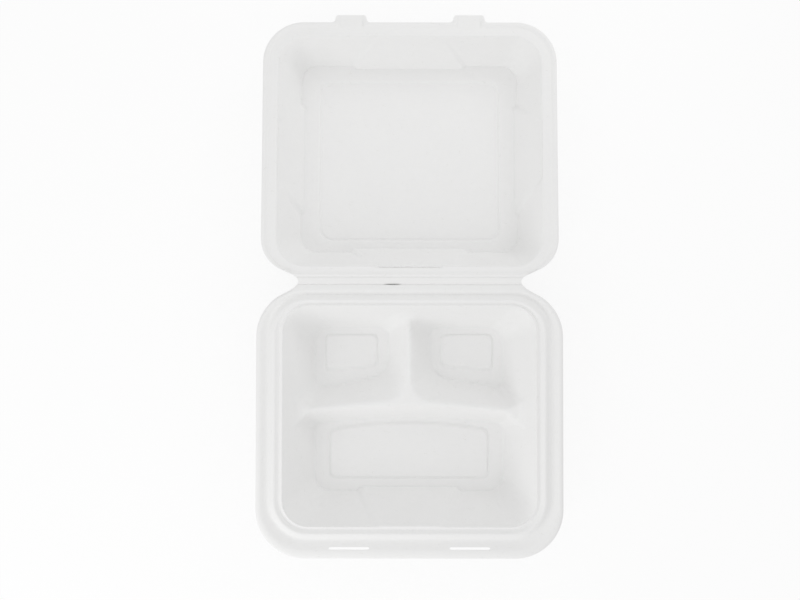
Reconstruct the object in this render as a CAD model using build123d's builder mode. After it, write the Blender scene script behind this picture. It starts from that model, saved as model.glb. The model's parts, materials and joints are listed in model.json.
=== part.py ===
"""Open clamshell lunch box of moulded bagasse pulp: a three-compartment tray and its lid on one living hinge.

Millimetres, +Z up. The origin is under the middle of the open box, on the surface it lies on. The tray is
toward -Y and the fold line runs along X. The lid lies open toward +Y, tilted down until its panel rests too.
"""

import math
import os

from build123d import *

os.makedirs("parts", exist_ok=True)

# Moulded sheet
sheet = 0.8
wall = 0.9

# Tray
tray_width = 230.0
tray_length = 207.0
tray_depth = 42.0
tray_corner = 36.5
shoulder_corner = 34.0

# Rolled rim of the tray: drop of the turned edge, depth of the channel, height of the bead
edge_drop = 1.5
channel_depth = 2.0
bead_height = 1.0
bead_flat = 0.4
groove_depth = 0.8
lip_rise = 0.1

# Lines of that rim: how far each lies inside the edge at the sides, at the front and at the fold
crest_side = 2.7
crest_front = 5.1
crest_fold = 7.5
crest_flat = 0.4
valley_side = 8.4
valley_front = 13.5
valley_fold = 9.4
bead_side = 14.15
bead_front = 19.1
bead_fold = 14.6
groove_side = 17.8
groove_front = 22.2
groove_fold = 17.0
lip_side = 20.1
lip_front = 23.8
lip_fold = 18.15
valley_corner = 30.0
bead_corner = 25.0
groove_corner = 22.0
lip_corner = 19.0

# Walls of the compartments: the mouth and the foot, from the same edges
mouth_side = 20.4
mouth_front = 24.0
mouth_fold = 18.4
foot_side = 40.0
foot_front = 41.7
foot_fold = 35.0
wall_corner = 18.8

# Ribs, raised floors and the notch in the front wall
rib_drop = 18.0
rib_crest = 4.0
rib_foot = 31.0
cross_rib_foot = 17.0
cross_rib_front = 14.5
rib_corner = 6.0
plateau_rise = 1.2
plateau_margin = 6.2
rib_margin = 10.0
notch_depth = 3.3
notch_top = 48.0
notch_foot = 80.0

# Lid: it sits inside the tray's rolled rim by the lap at its sides and at its front
lid_depth = 34.5
side_lap = 3.25
front_lap = 8.7
lid_corner = 31.0
lid_edge_drop = 0.7
lip_height = 0.4
lip_crest = 1.6
lip_flat = 0.4
flange_edge = 4.8
flange_drop = 1.0
ridge_edge = 4.6
ridge_foot = 6.9

# Walls of the lid: their mouth and foot, the facet in the middle of each, and the recessed panel
lid_mouth_side = 11.55
lid_mouth_front = 10.7
lid_mouth_fold = 11.4
lid_foot_side = 25.5
lid_foot_front = 22.4
lid_foot_fold = 25.5
hollow_corner = 18.0
panel_side = 42.2
panel_front = 37.1
panel_fold = 36.6
panel_corner = 9.0
panel_drop = 1.2
facet_depth = 3.5
facet_top = 48.0
facet_foot = 90.0

# Tabs on the lid's front edge and the slots that take them
tab_spacing = 90.0
tab_length = 5.8
tab_half = 14.7
tab_root = 2.8
tab_tip = 3.0
tab_level = 0.9
tab_edge_drop = 0.3
channel_half = 9.5
slot_length = 30.0
slot_width = 1.9
slot_inset = 8.0

# Hinge
neck_inset = 31.6
tray_shoulder = 42.0
lid_shoulder = 32.0
fold_gap = 0.7
crease_place = 2.4
lid_crease_place = 3.1
crease_depth = 0.8
crease_half = 1.0
tear_length = 11.0
tear_width = 0.4
tear_place = -13.0

# Derived sizes
lid_width = tray_width - 2 * side_lap
lid_length = tray_length - front_lap
axis_z = tray_depth + fold_gap / 2
panel_reach = lid_length - panel_front + 0.6
swing = math.hypot(panel_reach, lid_depth + fold_gap / 2)
tilt = math.atan2(panel_reach, lid_depth + fold_gap / 2) - math.acos(axis_z / swing)
lid_reach = (lid_length + tab_length) * math.cos(tilt) - (tab_level + fold_gap / 2) * math.sin(tilt)
fold_y = (tray_length - lid_reach) / 2
front_y = fold_y - tray_length
neck_half = tray_width / 2 - neck_inset
floor_level = sheet - tray_depth
cross_rib_middle = 0.435 * tray_length
cross_rib_end = 0.475 * tray_length
back_end_length = cross_rib_end - 0.88 * cross_rib_foot - foot_fold
back_end_corner = 0.248 * back_end_length
plateau_length = cross_rib_middle - cross_rib_foot - foot_fold - 2 * plateau_margin
plateau_corner = 0.195 * plateau_length
panel_level = sheet - lid_depth
band_level = panel_level + panel_drop
lid_plane = Plane(origin=(0, fold_y, axis_z), x_dir=(1, 0, 0), z_dir=(0, math.sin(tilt), math.cos(tilt)))


def share(start, end, part):
    """A value between two others."""
    return start + (end - start) * part


def tray_ring(level, side, front, back, front_corner, back_corner):
    """Rounded outline inside the tray's edge, with its own inset at the sides, the front and the fold."""
    half = tray_width / 2 - side
    low = front_y + front
    high = fold_y - back
    with BuildSketch(Plane.XY.offset(tray_depth + level)) as ring:
        with Locations((0, (low + high) / 2)):
            Rectangle(2 * half, high - low)
        fillet(ring.vertices().sort_by(Axis.Y)[:2], front_corner)
        fillet(ring.vertices().sort_by(Axis.Y)[-2:], back_corner)
    return ring.sketch


def lid_ring(level, side, front, back, front_corner, back_corner):
    """Rounded outline inside the lid's edge, the same way, on the tilted plane of the lid."""
    half = lid_width / 2 - side
    with BuildSketch(lid_plane.offset(level - fold_gap / 2)) as ring:
        with Locations((0, (lid_length - front + back) / 2)):
            Rectangle(2 * half, lid_length - front - back)
        fillet(ring.vertices().sort_by(Axis.Y)[-2:], front_corner)
        fillet(ring.vertices().sort_by(Axis.Y)[:2], back_corner)
    return ring.sketch


def shell_outline(plane, half, length, corner, toward, shoulder, overrun):
    """Outline of one half with its shoulders narrowing to the hinge neck, drawn from the fold line."""
    gap = half - neck_half
    s = toward
    bend = ((0.51 * gap) ** 2 + (0.72 * shoulder) ** 2) / (1.02 * gap)
    turn = math.asin(0.72 * shoulder / bend) / 2
    with BuildSketch(plane) as outline:
        with BuildLine():
            Line((0, -s * overrun), (neck_half, -s * overrun))
            if overrun > 0:
                Line((neck_half, -s * overrun), (neck_half, 0))
            ThreePointArc(
                (neck_half, 0),
                (neck_half + 0.05 * gap, s * 0.08 * shoulder),
                (neck_half + 0.18 * gap, s * 0.155 * shoulder),
            )
            Line(
                (neck_half + 0.18 * gap, s * 0.155 * shoulder),
                (neck_half + 0.49 * gap, s * 0.28 * shoulder),
            )
            ThreePointArc(
                (neck_half + 0.49 * gap, s * 0.28 * shoulder),
                (half - bend * (1 - math.cos(turn)), s * (shoulder - bend * math.sin(turn))),
                (half, s * shoulder),
            )
            Line((half, s * shoulder), (half, s * (length - corner)))
            ThreePointArc(
                (half, s * (length - corner)),
                (half - corner * (1 - math.sqrt(0.5)), s * (length - corner * (1 - math.sqrt(0.5)))),
                (half - corner, s * length),
            )
            Line((half - corner, s * length), (0, s * length))
            mirror(about=Plane.YZ)
        make_face()
    return outline.sketch


def wall_side(level):
    """How far the cavity wall lies inside the tray's side edge at a level."""
    return share(mouth_side, foot_side, level / floor_level)


def wall_front(level):
    """The same from the front edge."""
    return share(mouth_front, foot_front, level / floor_level)


def wall_fold(level):
    """The same from the fold line."""
    return share(mouth_fold, foot_fold, level / floor_level)


def wall_ring(level, grow):
    """The cavity wall of the tray at a level below the rim, or its outer face when grown."""
    corner = wall_corner + grow
    return tray_ring(
        level, wall_side(level) - grow, wall_front(level) - grow, wall_fold(level) - grow, corner, corner
    )


def back_pocket(level, grow, hand):
    """One of the two compartments next to the hinge at a level between the ribs' crest and the floor."""
    part = (level + rib_drop) / (floor_level + rib_drop)
    outer = tray_width / 2 - wall_side(level) + grow
    inner = share(rib_crest / 2, rib_foot / 2, part) - grow
    high = fold_y - wall_fold(level) + grow
    near = fold_y - cross_rib_middle + share(0, cross_rib_foot, part) - grow
    far = fold_y - cross_rib_end + share(0, 0.88 * cross_rib_foot, part) - grow
    with BuildSketch(Plane.XY.offset(tray_depth + level)) as pocket:
        with BuildLine():
            Polyline((inner, high), (outer, high), (outer, far), (inner, near), close=True)
        make_face()
        if hand < 0:
            mirror(about=Plane.YZ, mode=Mode.REPLACE)
        ends = pocket.vertices().sort_by(lambda v: abs(v.X))
        fillet(ends[-2:].sort_by(Axis.Y)[-1], wall_corner + grow)
        ends = pocket.vertices().sort_by(Axis.Y)
        fillet(ends[0], back_end_corner + grow)
        ends = pocket.vertices().sort_by(lambda v: abs(v.X))
        fillet(ends[:2], rib_corner + grow)
    return pocket.sketch


def front_pocket(level, grow):
    """The wide front compartment, whose back side follows the arched cross rib."""
    part = (level + rib_drop) / (floor_level + rib_drop)
    outer = tray_width / 2 - wall_side(level) + grow
    low = front_y + wall_front(level) - grow
    crown = fold_y - 0.446 * tray_length - share(0, cross_rib_front, part) + grow
    ends_y = fold_y - 0.484 * tray_length - share(0, 0.76 * cross_rib_front, part) + grow
    with BuildSketch(Plane.XY.offset(tray_depth + level)) as pocket:
        with BuildLine():
            Polyline((-outer, ends_y), (-outer, low), (outer, low), (outer, ends_y))
            ThreePointArc((outer, ends_y), (0, crown), (-outer, ends_y))
        make_face()
        fillet(pocket.vertices().sort_by(Axis.Y)[:2], wall_corner + grow)
        fillet(pocket.vertices().sort_by(Axis.Y)[-2:], 1.25 * rib_corner + grow)
    return pocket.sketch


def back_plateau(level, inset, hand):
    """Raised middle of a back compartment's floor."""
    near = rib_foot / 2 + rib_margin + inset
    far = tray_width / 2 - foot_side - rib_margin + 1.0 - inset
    high = fold_y - foot_fold - plateau_margin - inset
    low = high - plateau_length + 2 * inset
    with BuildSketch(Plane.XY.offset(tray_depth + level)) as plateau:
        with BuildLine():
            Polyline((near, high), (far, high), (far, low - 2.6), (near, low + 0.8), close=True)
        make_face()
        if hand < 0:
            mirror(about=Plane.YZ, mode=Mode.REPLACE)
        fillet(plateau.vertices(), plateau_corner - inset)
    return plateau.sketch


def front_plateau(level, inset):
    """Raised middle of the front compartment's floor."""
    half = tray_width / 2 - foot_side - 2 * plateau_margin - inset
    ends_y = fold_y - 0.484 * tray_length - cross_rib_front - 1.8 - inset
    low = front_y + foot_front + 2 * plateau_margin - 0.9 + inset
    with BuildSketch(Plane.XY.offset(tray_depth + level)) as plateau:
        with BuildLine():
            Polyline((-half, ends_y), (-half, low), (half, low), (half, ends_y))
            ThreePointArc((half, ends_y), (0, ends_y + 5.8), (-half, ends_y))
        make_face()
        fillet(plateau.vertices(), plateau_corner - inset)
    return plateau.sketch


def slab(plane, half, near, far, centre=0):
    """A rectangle on a plane between two distances, centred on a place along X."""
    with BuildSketch(plane) as patch:
        with Locations((centre, (near + far) / 2)):
            Rectangle(2 * half, abs(far - near))
    return patch.sketch


def drafted_block(origin, along, outward, up, top, low, thick):
    """A block with a leaning face. Top and low are its level, its half width and how far out its face is."""
    top_level, top_half, top_face = top
    low_level, low_half, low_face = low
    with BuildPart() as block:
        with BuildSketch(Plane(origin=origin, x_dir=along, z_dir=along.cross(up))):
            Polygon(
                (-low_half, low_level), (low_half, low_level), (top_half, top_level), (-top_half, top_level),
                align=None,
            )
        extrude(amount=2 * tray_length, both=True)
        with BuildSketch(Plane(origin=origin, x_dir=outward, z_dir=outward.cross(up))):
            Polygon(
                (low_face, low_level),
                (low_face + thick, low_level),
                (top_face + thick, top_level),
                (top_face, top_level),
                align=None,
            )
        extrude(amount=tray_width, both=True, mode=Mode.INTERSECT)
    return block.part


def notch_block(grow):
    """What the flatter middle of the front wall takes from the hollow."""
    low_level = floor_level - 2
    part = low_level / floor_level
    top = (0.0, notch_top / 2 - grow, grow - mouth_front)
    low = (
        low_level,
        share(notch_top, notch_foot, part) / 2 - grow,
        grow - share(mouth_front, foot_front + notch_depth, part),
    )
    origin = Vector(0, front_y, tray_depth)
    return drafted_block(origin, Vector(1, 0, 0), Vector(0, -1, 0), Vector(0, 0, 1), top, low, 16)


def compartments(grow, drop, top):
    """The hollow of the tray from the rim down, or the body around it when grown and lowered."""
    crest = -rib_drop - drop
    base = floor_level - drop
    upper = [wall_ring(top, grow), wall_ring(crest, grow)]
    left = [back_pocket(crest, grow, -1), back_pocket(base, grow, -1)]
    right = [back_pocket(crest, grow, 1), back_pocket(base, grow, 1)]
    front = [front_pocket(crest, grow), front_pocket(base, grow)]
    left_rise = [back_plateau(base - 0.5, -0.5, -1), back_plateau(base + plateau_rise, plateau_rise, -1)]
    right_rise = [back_plateau(base - 0.5, -0.5, 1), back_plateau(base + plateau_rise, plateau_rise, 1)]
    front_rise = [front_plateau(base - 0.5, -0.5), front_plateau(base + plateau_rise, plateau_rise)]
    with BuildPart() as hollow:
        loft(sections=upper, ruled=True)
        loft(sections=left, ruled=True)
        loft(sections=right, ruled=True)
        loft(sections=front, ruled=True)
        loft(sections=left_rise, ruled=True, mode=Mode.SUBTRACT)
        loft(sections=right_rise, ruled=True, mode=Mode.SUBTRACT)
        loft(sections=front_rise, ruled=True, mode=Mode.SUBTRACT)
        add(notch_block(grow), mode=Mode.SUBTRACT)
    return hollow.part


def lid_hollow(grow, drop, top):
    """The hollow of the lid, or the body around it, with a flatter facet in the middle of every wall."""
    base = band_level - drop

    def ring(level):
        part = (level + flange_drop) / (band_level + flange_drop)
        return lid_ring(
            level,
            share(lid_mouth_side, lid_foot_side, part) - grow,
            share(lid_mouth_front, lid_foot_front, part) - grow,
            share(lid_mouth_fold, lid_foot_fold, part) - grow,
            hollow_corner + grow,
            hollow_corner + grow,
        )

    def facet(half_top, half_low, depth, place):
        """A wedge on one wall, wider and deeper toward the foot. Place is hinge, front, left or right."""
        up = lid_plane.z_dir
        origin = lid_plane.origin - up * (fold_gap / 2)
        along = lid_plane.x_dir
        if place in ("left", "right"):
            origin = origin + lid_plane.y_dir * (0.504 * lid_length)
            along = lid_plane.y_dir
        ends = []
        for level, half, inset in ((-flange_drop, half_top, 0.0), (base - 1.0, half_low, depth)):
            part = (level + flange_drop) / (band_level + flange_drop)
            if place == "hinge":
                face = grow - share(lid_mouth_fold, lid_foot_fold, part) - inset
                outward = -lid_plane.y_dir
            elif place == "front":
                face = lid_length - share(lid_mouth_front, lid_foot_front, part) + grow - inset
                outward = lid_plane.y_dir
            else:
                face = lid_width / 2 - share(lid_mouth_side, lid_foot_side, part) + grow - inset
                outward = lid_plane.x_dir * (1 if place == "right" else -1)
            ends.append((level, half - grow, face))
        return drafted_block(origin, along, outward, up, ends[0], ends[1], 12)

    panel = []
    for level, out in ((base + 0.01, panel_drop), (base - panel_drop, 0.0)):
        out = out + 0.67 * grow
        corner = panel_corner + out
        panel.append(
            lid_ring(level, panel_side - out, panel_front - out, panel_fold - out, corner, corner)
        )
    body = [ring(top), ring(base)]
    hinge_facet = facet(facet_top / 2 + 1.0, facet_foot / 2 + 1.0, 0.8 * facet_depth, "hinge")
    front_facet = facet(facet_top / 2 + 4.0, facet_foot / 2 - 1.0, 0.5 * facet_depth, "front")
    left_facet = facet(facet_top / 2 - 1.0, facet_foot / 2 - 1.0, facet_depth, "left")
    right_facet = facet(facet_top / 2 - 1.0, facet_foot / 2 - 1.0, facet_depth, "right")
    with BuildPart() as hollow:
        loft(sections=body, ruled=True)
        add(hinge_facet, mode=Mode.SUBTRACT)
        add(front_facet, mode=Mode.SUBTRACT)
        add(left_facet, mode=Mode.SUBTRACT)
        add(right_facet, mode=Mode.SUBTRACT)
        loft(sections=panel, ruled=True)
    return hollow.part


# Rim of the tray, as the solid under its upper surface
tray_base = Plane((0, fold_y, tray_depth - 8))
tray_step = Plane((0, fold_y, tray_depth - edge_drop))
tray_plan = shell_outline(tray_base, tray_width / 2, tray_length, tray_corner, -1, tray_shoulder, 0)
crown_plan = shell_outline(tray_step, tray_width / 2, tray_length, tray_corner, -1, tray_shoulder, 0)
crown_edge = [
    tray_ring(-edge_drop, 0, 0, -1.5 * tray_shoulder, tray_corner, tray_corner),
    tray_ring(0, crest_side, crest_front, -1.5 * tray_shoulder, tray_corner - crest_side, tray_corner),
]
with BuildPart() as tray_crown:
    extrude(crown_plan, amount=edge_drop)
    loft(sections=crown_edge, ruled=True, mode=Mode.INTERSECT)

crest_ring = tray_ring(
    0, crest_side + crest_flat, crest_front + crest_flat, crest_fold, shoulder_corner, shoulder_corner
)
valley_ring = tray_ring(-channel_depth, valley_side, valley_front, valley_fold, valley_corner, valley_corner)
bead_outside = tray_ring(
    bead_height,
    bead_side - bead_flat,
    bead_front - bead_flat,
    bead_fold - bead_flat,
    bead_corner + bead_flat,
    bead_corner + bead_flat,
)
bead_inside = tray_ring(
    bead_height,
    bead_side + bead_flat,
    bead_front + bead_flat,
    bead_fold + bead_flat,
    bead_corner - bead_flat,
    bead_corner - bead_flat,
)
groove_ring = tray_ring(-groove_depth, groove_side, groove_front, groove_fold, groove_corner, groove_corner)
lip_ring = tray_ring(lip_rise, lip_side, lip_front, lip_fold, lip_corner, lip_corner)
with BuildSketch(Plane.YZ.offset(-tray_width / 2)) as tray_crease:
    with Locations((fold_y - crease_place, tray_depth)):
        Polygon((-crease_half, 0), (0, -crease_depth), (crease_half, 0), align=None)

with BuildPart() as tray_rim:
    extrude(tray_plan, amount=8 - edge_drop)
    add(tray_crown.part)
    loft(sections=[crest_ring, valley_ring], ruled=True, mode=Mode.SUBTRACT)
    loft(sections=[valley_ring, bead_outside], ruled=True)
    loft(sections=[bead_inside, groove_ring], ruled=True, mode=Mode.SUBTRACT)
    loft(sections=[groove_ring, lip_ring], ruled=True)
    extrude(tray_crease.sketch, amount=tray_width, mode=Mode.SUBTRACT)

# The tray: its rim as a sheet, the body and hollow of the compartments, the slots and the tear in the crease
rim_below = tray_rim.part.moved(Location((0, 0, -sheet)))
tray_body = compartments(wall, sheet, -0.8 * sheet)
tray_hollow = compartments(0, 0, 1.0)
with BuildPart() as tray:
    add(tray_rim.part)
    add(rim_below, mode=Mode.SUBTRACT)
    add(tray_body)
    add(tray_hollow, mode=Mode.SUBTRACT)
    with BuildSketch(Plane.XY.offset(tray_depth + 1)):
        with Locations(
            (-tab_spacing / 2, front_y + slot_inset),
            (tab_spacing / 2, front_y + slot_inset),
        ):
            SlotOverall(slot_length, slot_width)
        with Locations((tear_place, fold_y - crease_place)):
            SlotOverall(tear_length, tear_width)
    extrude(amount=-6, mode=Mode.SUBTRACT)
tray.part.label = "tray"

# Rim of the lid
lid_base = lid_plane.offset(-8 - fold_gap / 2)
lid_step = lid_plane.offset(-lid_edge_drop - fold_gap / 2)
lid_plan = shell_outline(lid_base, lid_width / 2, lid_length, lid_corner, 1, lid_shoulder, 1.0)
lid_crown_plan = shell_outline(lid_step, lid_width / 2, lid_length, lid_corner, 1, lid_shoulder, 1.0)
lid_crown_edge = [
    lid_ring(-lid_edge_drop, 0, 0, -2 * lid_shoulder, lid_corner, lid_corner),
    lid_ring(lip_height, lip_crest, lip_crest, -2 * lid_shoulder, lid_corner - lip_crest, lid_corner),
]
with BuildPart() as lid_crown:
    extrude(lid_crown_plan, amount=lid_edge_drop + lip_height)
    loft(sections=lid_crown_edge, ruled=True, mode=Mode.INTERSECT)

lip_inside = lip_crest + lip_flat
lid_flange = [
    lid_ring(lip_height, lip_inside, lip_inside, ridge_edge, lid_corner - lip_inside, lid_corner - 3.0),
    lid_ring(-flange_drop, flange_edge, flange_edge, ridge_foot, lid_corner - flange_edge, lid_corner - 6.0),
]
strip_top = slab(lid_plane.offset(-fold_gap / 2), lid_width / 2 + 1, -2, 12)


def tab_outline(level, centre):
    """A tongue on the front edge with hollow corners at its root and round ones at its tip."""
    turn = tab_half - tab_root
    with BuildSketch(lid_plane.offset(level - fold_gap / 2)) as tab:
        with BuildLine(Plane((centre, lid_length))):
            Line((-tab_half, -4), (tab_half, -4))
            Line((tab_half, -4), (tab_half, 0))
            RadiusArc((tab_half, 0), (turn, tab_root), tab_root)
            RadiusArc((turn, tab_root), (turn - tab_tip, tab_length), -tab_tip)
            Line((turn - tab_tip, tab_length), (tab_tip - turn, tab_length))
            RadiusArc((tab_tip - turn, tab_length), (-turn, tab_root), -tab_tip)
            RadiusArc((-turn, tab_root), (-tab_half, 0), tab_root)
            Line((-tab_half, 0), (-tab_half, -4))
        make_face()
    return tab.sketch


left_tab = tab_outline(-8, -tab_spacing / 2)
right_tab = tab_outline(-8, tab_spacing / 2)
tab_plane = lid_plane.offset(-tab_level - fold_gap / 2)
left_channel = slab(tab_plane, channel_half, lid_length - 9, lid_length + 8, -tab_spacing / 2)
right_channel = slab(tab_plane, channel_half, lid_length - 9, lid_length + 8, tab_spacing / 2)
crease_plane = Plane(origin=(-lid_width / 2, fold_y, axis_z), x_dir=lid_plane.y_dir, z_dir=(1, 0, 0))
with BuildSketch(crease_plane) as lid_crease:
    with Locations((lid_crease_place, -fold_gap / 2)):
        Polygon((-crease_half, 0), (0, -crease_depth), (crease_half, 0), align=None)

with BuildPart() as lid_rim:
    extrude(lid_plan, amount=8 - lid_edge_drop)
    add(lid_crown.part)
    loft(sections=lid_flange, ruled=True, mode=Mode.SUBTRACT)
    extrude(strip_top, amount=3, mode=Mode.SUBTRACT)
    extrude(left_tab, amount=8 - tab_edge_drop)
    extrude(right_tab, amount=8 - tab_edge_drop)
    extrude(left_channel, amount=4, mode=Mode.SUBTRACT)
    extrude(right_channel, amount=4, mode=Mode.SUBTRACT)
    extrude(lid_crease.sketch, amount=lid_width, mode=Mode.SUBTRACT)

# The lid: its half of the hinge ends square on the fold line
lid_below = lid_rim.part.moved(Location(lid_plane.z_dir * -sheet))
lid_body = lid_hollow(wall, sheet, -flange_drop - sheet / 2)
lid_inside = lid_hollow(0, 0, 2.0)
with BuildPart() as lid:
    add(lid_rim.part)
    add(lid_below, mode=Mode.SUBTRACT)
    add(lid_body)
    add(lid_inside, mode=Mode.SUBTRACT)
    with Locations((0, fold_y - 5, tray_depth - 5)):
        Box(tray_width, 10, 30, mode=Mode.SUBTRACT)
lid.part.label = "lid"

export_step(tray.part, "parts/tray.step")
export_step(lid.part, "parts/lid.step")
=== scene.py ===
"""Open lunch box of moulded bagasse pulp, dressed over its CAD frame: tray, lid, living hinge and stage."""

import json
import math

import bpy
import numpy as np
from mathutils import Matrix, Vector

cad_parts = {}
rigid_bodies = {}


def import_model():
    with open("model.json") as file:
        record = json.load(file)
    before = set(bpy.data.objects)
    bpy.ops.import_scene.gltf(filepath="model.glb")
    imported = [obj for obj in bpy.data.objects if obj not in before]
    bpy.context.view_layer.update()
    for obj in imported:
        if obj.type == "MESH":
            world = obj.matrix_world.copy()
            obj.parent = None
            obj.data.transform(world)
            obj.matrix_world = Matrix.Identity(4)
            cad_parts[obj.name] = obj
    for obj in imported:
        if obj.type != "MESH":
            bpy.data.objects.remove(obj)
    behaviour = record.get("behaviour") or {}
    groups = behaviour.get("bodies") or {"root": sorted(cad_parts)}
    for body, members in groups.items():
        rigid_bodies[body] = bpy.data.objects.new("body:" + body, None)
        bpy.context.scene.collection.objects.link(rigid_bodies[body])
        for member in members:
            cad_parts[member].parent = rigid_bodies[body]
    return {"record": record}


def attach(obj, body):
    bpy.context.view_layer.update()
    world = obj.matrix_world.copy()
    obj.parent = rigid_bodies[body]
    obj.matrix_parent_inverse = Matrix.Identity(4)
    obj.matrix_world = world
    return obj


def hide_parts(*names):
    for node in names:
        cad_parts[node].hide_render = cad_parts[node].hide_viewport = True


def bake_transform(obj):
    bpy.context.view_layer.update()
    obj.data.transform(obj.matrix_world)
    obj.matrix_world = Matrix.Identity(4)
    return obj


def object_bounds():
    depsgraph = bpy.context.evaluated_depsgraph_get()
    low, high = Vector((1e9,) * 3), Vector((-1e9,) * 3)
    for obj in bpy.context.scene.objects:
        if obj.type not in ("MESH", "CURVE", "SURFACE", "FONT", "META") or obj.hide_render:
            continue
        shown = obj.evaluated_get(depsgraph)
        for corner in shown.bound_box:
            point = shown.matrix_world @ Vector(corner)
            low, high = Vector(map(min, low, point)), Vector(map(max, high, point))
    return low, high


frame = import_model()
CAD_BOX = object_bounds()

bl_info = {
    "name": "Moulded pulp lunch box",
    "version": (1, 0, 0),
    "blender": (4, 5, 0),
    "location": "3D View > Sidebar > Lunch box",
    "description": "Tray, lid and living hinge of a moulded pulp lunch box",
    "category": "Add Mesh",
}

# In millimetres: the fold line, and the hinge's axis half a gap above the strip. The open lid is tipped back.
HINGE = frame["record"]["behaviour"]["joints"][0]
FOLD_Y = HINGE["pos_m"][1] * 1000
AXIS_Z = HINGE["pos_m"][2] * 1000
FOLD_GAP = 0.7
TILT = math.radians(HINGE["range_deg"][1] - 180)

# Samples along the half outline: straight at the hinge and at the front, each corner, the side
STRAIGHT = 56
CORNER = 28
SIDE = 72
HALF = 2 * STRAIGHT + 2 * CORNER + SIDE
AROUND = 2 * HALF

SHARP_ANGLE = math.radians(55)


# Shaping helpers. Plan places are in millimetres: x across, d away from the fold line, level against the rim.


def blend_max(a, b, width, groove=0.0):
    """The higher of two surfaces, with a fillet of this width where they meet and a groove pressed in."""
    near = np.maximum(width - np.abs(a - b), 0.0) / width
    return np.maximum(a, b) + near * near * (width / 4 - groove)


def blend_min(a, b, width):
    """The lower of two surfaces, with a round crest between them."""
    return -blend_max(-a, -b, width)


def field(corner, *edges):
    """How far inside a field with rounded corners a place is, from how far inside each edge it is."""
    inside = edges[0]
    for edge in edges[1:]:
        inside = blend_min(inside, edge, corner)
    return inside


def ramp(value, low, high):
    """A smooth step from 0 at low to 1 at high."""
    t = np.clip((np.asarray(value, float) - low) / (high - low), 0.0, 1.0)
    return t * t * (3 - 2 * t)


def mix(a, b, part):
    """Part of the way from a to b."""
    return a + (b - a) * part


class Ring:
    """A rounded outline inside a half's edge: insets at side, front and fold, and two corner radii."""

    def __init__(self, side, front, fold, front_corner, fold_corner):
        self.values = np.array([side, front, fold, front_corner, fold_corner], float)

    def toward(self, other, part):
        return Ring(*mix(self.values, other.values, part))

    def moved_in(self, distance):
        """The ring moved inward, with its corners tighter by as much."""
        return Ring(*(self.values + distance * np.array([1, 1, 1, -1, -1])))


# Half widths of a tab of the lid: of its flat tip, where its corner meets the fillet, and at its root
TAB_TIP = 8.9
TAB_TURN = 11.9
TAB_ROOT = 14.7
TAB_ROUND = TAB_TURN - TAB_TIP
TAB_FILLET = TAB_ROOT - TAB_TURN


def tab_places(half_straight, centre):
    """STRAIGHT + 1 places across the lid's front, as shares of its straight, closer at a tab's flanks."""
    arc = np.linspace(0, math.pi / 2, 7)[1:]
    stops = (
        np.linspace(half_straight, centre + TAB_ROOT, 9),
        centre + TAB_ROOT - TAB_FILLET * np.sin(arc),
        centre + TAB_TIP + TAB_ROUND * np.cos(arc),
        np.linspace(centre + TAB_TIP, centre - TAB_TIP, 11)[1:],
        centre - TAB_TIP - TAB_ROUND * np.sin(arc),
        centre - TAB_ROOT + TAB_FILLET * np.cos(arc),
        np.linspace(centre - TAB_ROOT, 0, 15)[1:],
    )
    return np.concatenate(stops) / half_straight


def ring_points(ring, half_width, length, shares):
    """The ring's right half, from the middle of the fold side round to the middle of the front."""
    side, front, fold, front_corner, fold_corner = ring.values
    half = half_width - side
    low, high = fold, length - front
    x1, x2 = half - fold_corner, half - front_corner
    turn = np.linspace(0, math.pi / 2, CORNER + 1)[1:]
    xs = [np.linspace(0, x1, STRAIGHT + 1)]
    ds = [np.full(STRAIGHT + 1, low)]
    xs.append(x1 + fold_corner * np.sin(turn))
    ds.append(low + fold_corner * (1 - np.cos(turn)))
    xs.append(np.full(SIDE, half))
    ds.append(np.linspace(low + fold_corner, high - front_corner, SIDE + 1)[1:])
    xs.append(x2 + front_corner * np.cos(turn))
    ds.append(high - front_corner * (1 - np.sin(turn)))
    xs.append(x2 * shares[1:])
    ds.append(np.full(STRAIGHT, high))
    return np.stack([np.concatenate(xs), np.concatenate(ds)], 1)


def around(right):
    """The whole ring from its right half."""
    left = right[-2:0:-1] * np.array([-1.0, 1.0])
    return np.concatenate([right, left])


# The shoulder from the neck out to the side, as shares of its width and length: a bend, and an arc after it
SHOULDER_BEND = ((0.0, 0.0), (0.05, 0.08), (0.18, 0.155))
SHOULDER_ARC = (0.49, 0.28)
LEAST_STEP = 0.05


def shoulder_curve(neck, half, shoulder):
    """The outline's way from the neck out to the side, as a dense line."""
    gap = half - neck
    bend = [(neck + across * gap, along * shoulder) for across, along in SHOULDER_BEND]
    points = []
    for t in np.linspace(0, 1, 12):
        weights = (1 - t) * (1 - 2 * t), 4 * t * (1 - t), t * (2 * t - 1)
        points.append([sum(w * place[k] for w, place in zip(weights, bend)) for k in (0, 1)])
    across, along = SHOULDER_ARC
    points.append([neck + across * gap, along * shoulder])
    wide, long = (1 - across) * gap, (1 - along) * shoulder
    radius = (wide**2 + long**2) / (2 * wide)
    whole = math.asin(long / radius)
    for t in np.linspace(1, 0, 24)[1:]:
        points.append([half - radius * (1 - math.cos(whole * t)), shoulder - radius * math.sin(whole * t)])
    return np.array(points)


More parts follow.
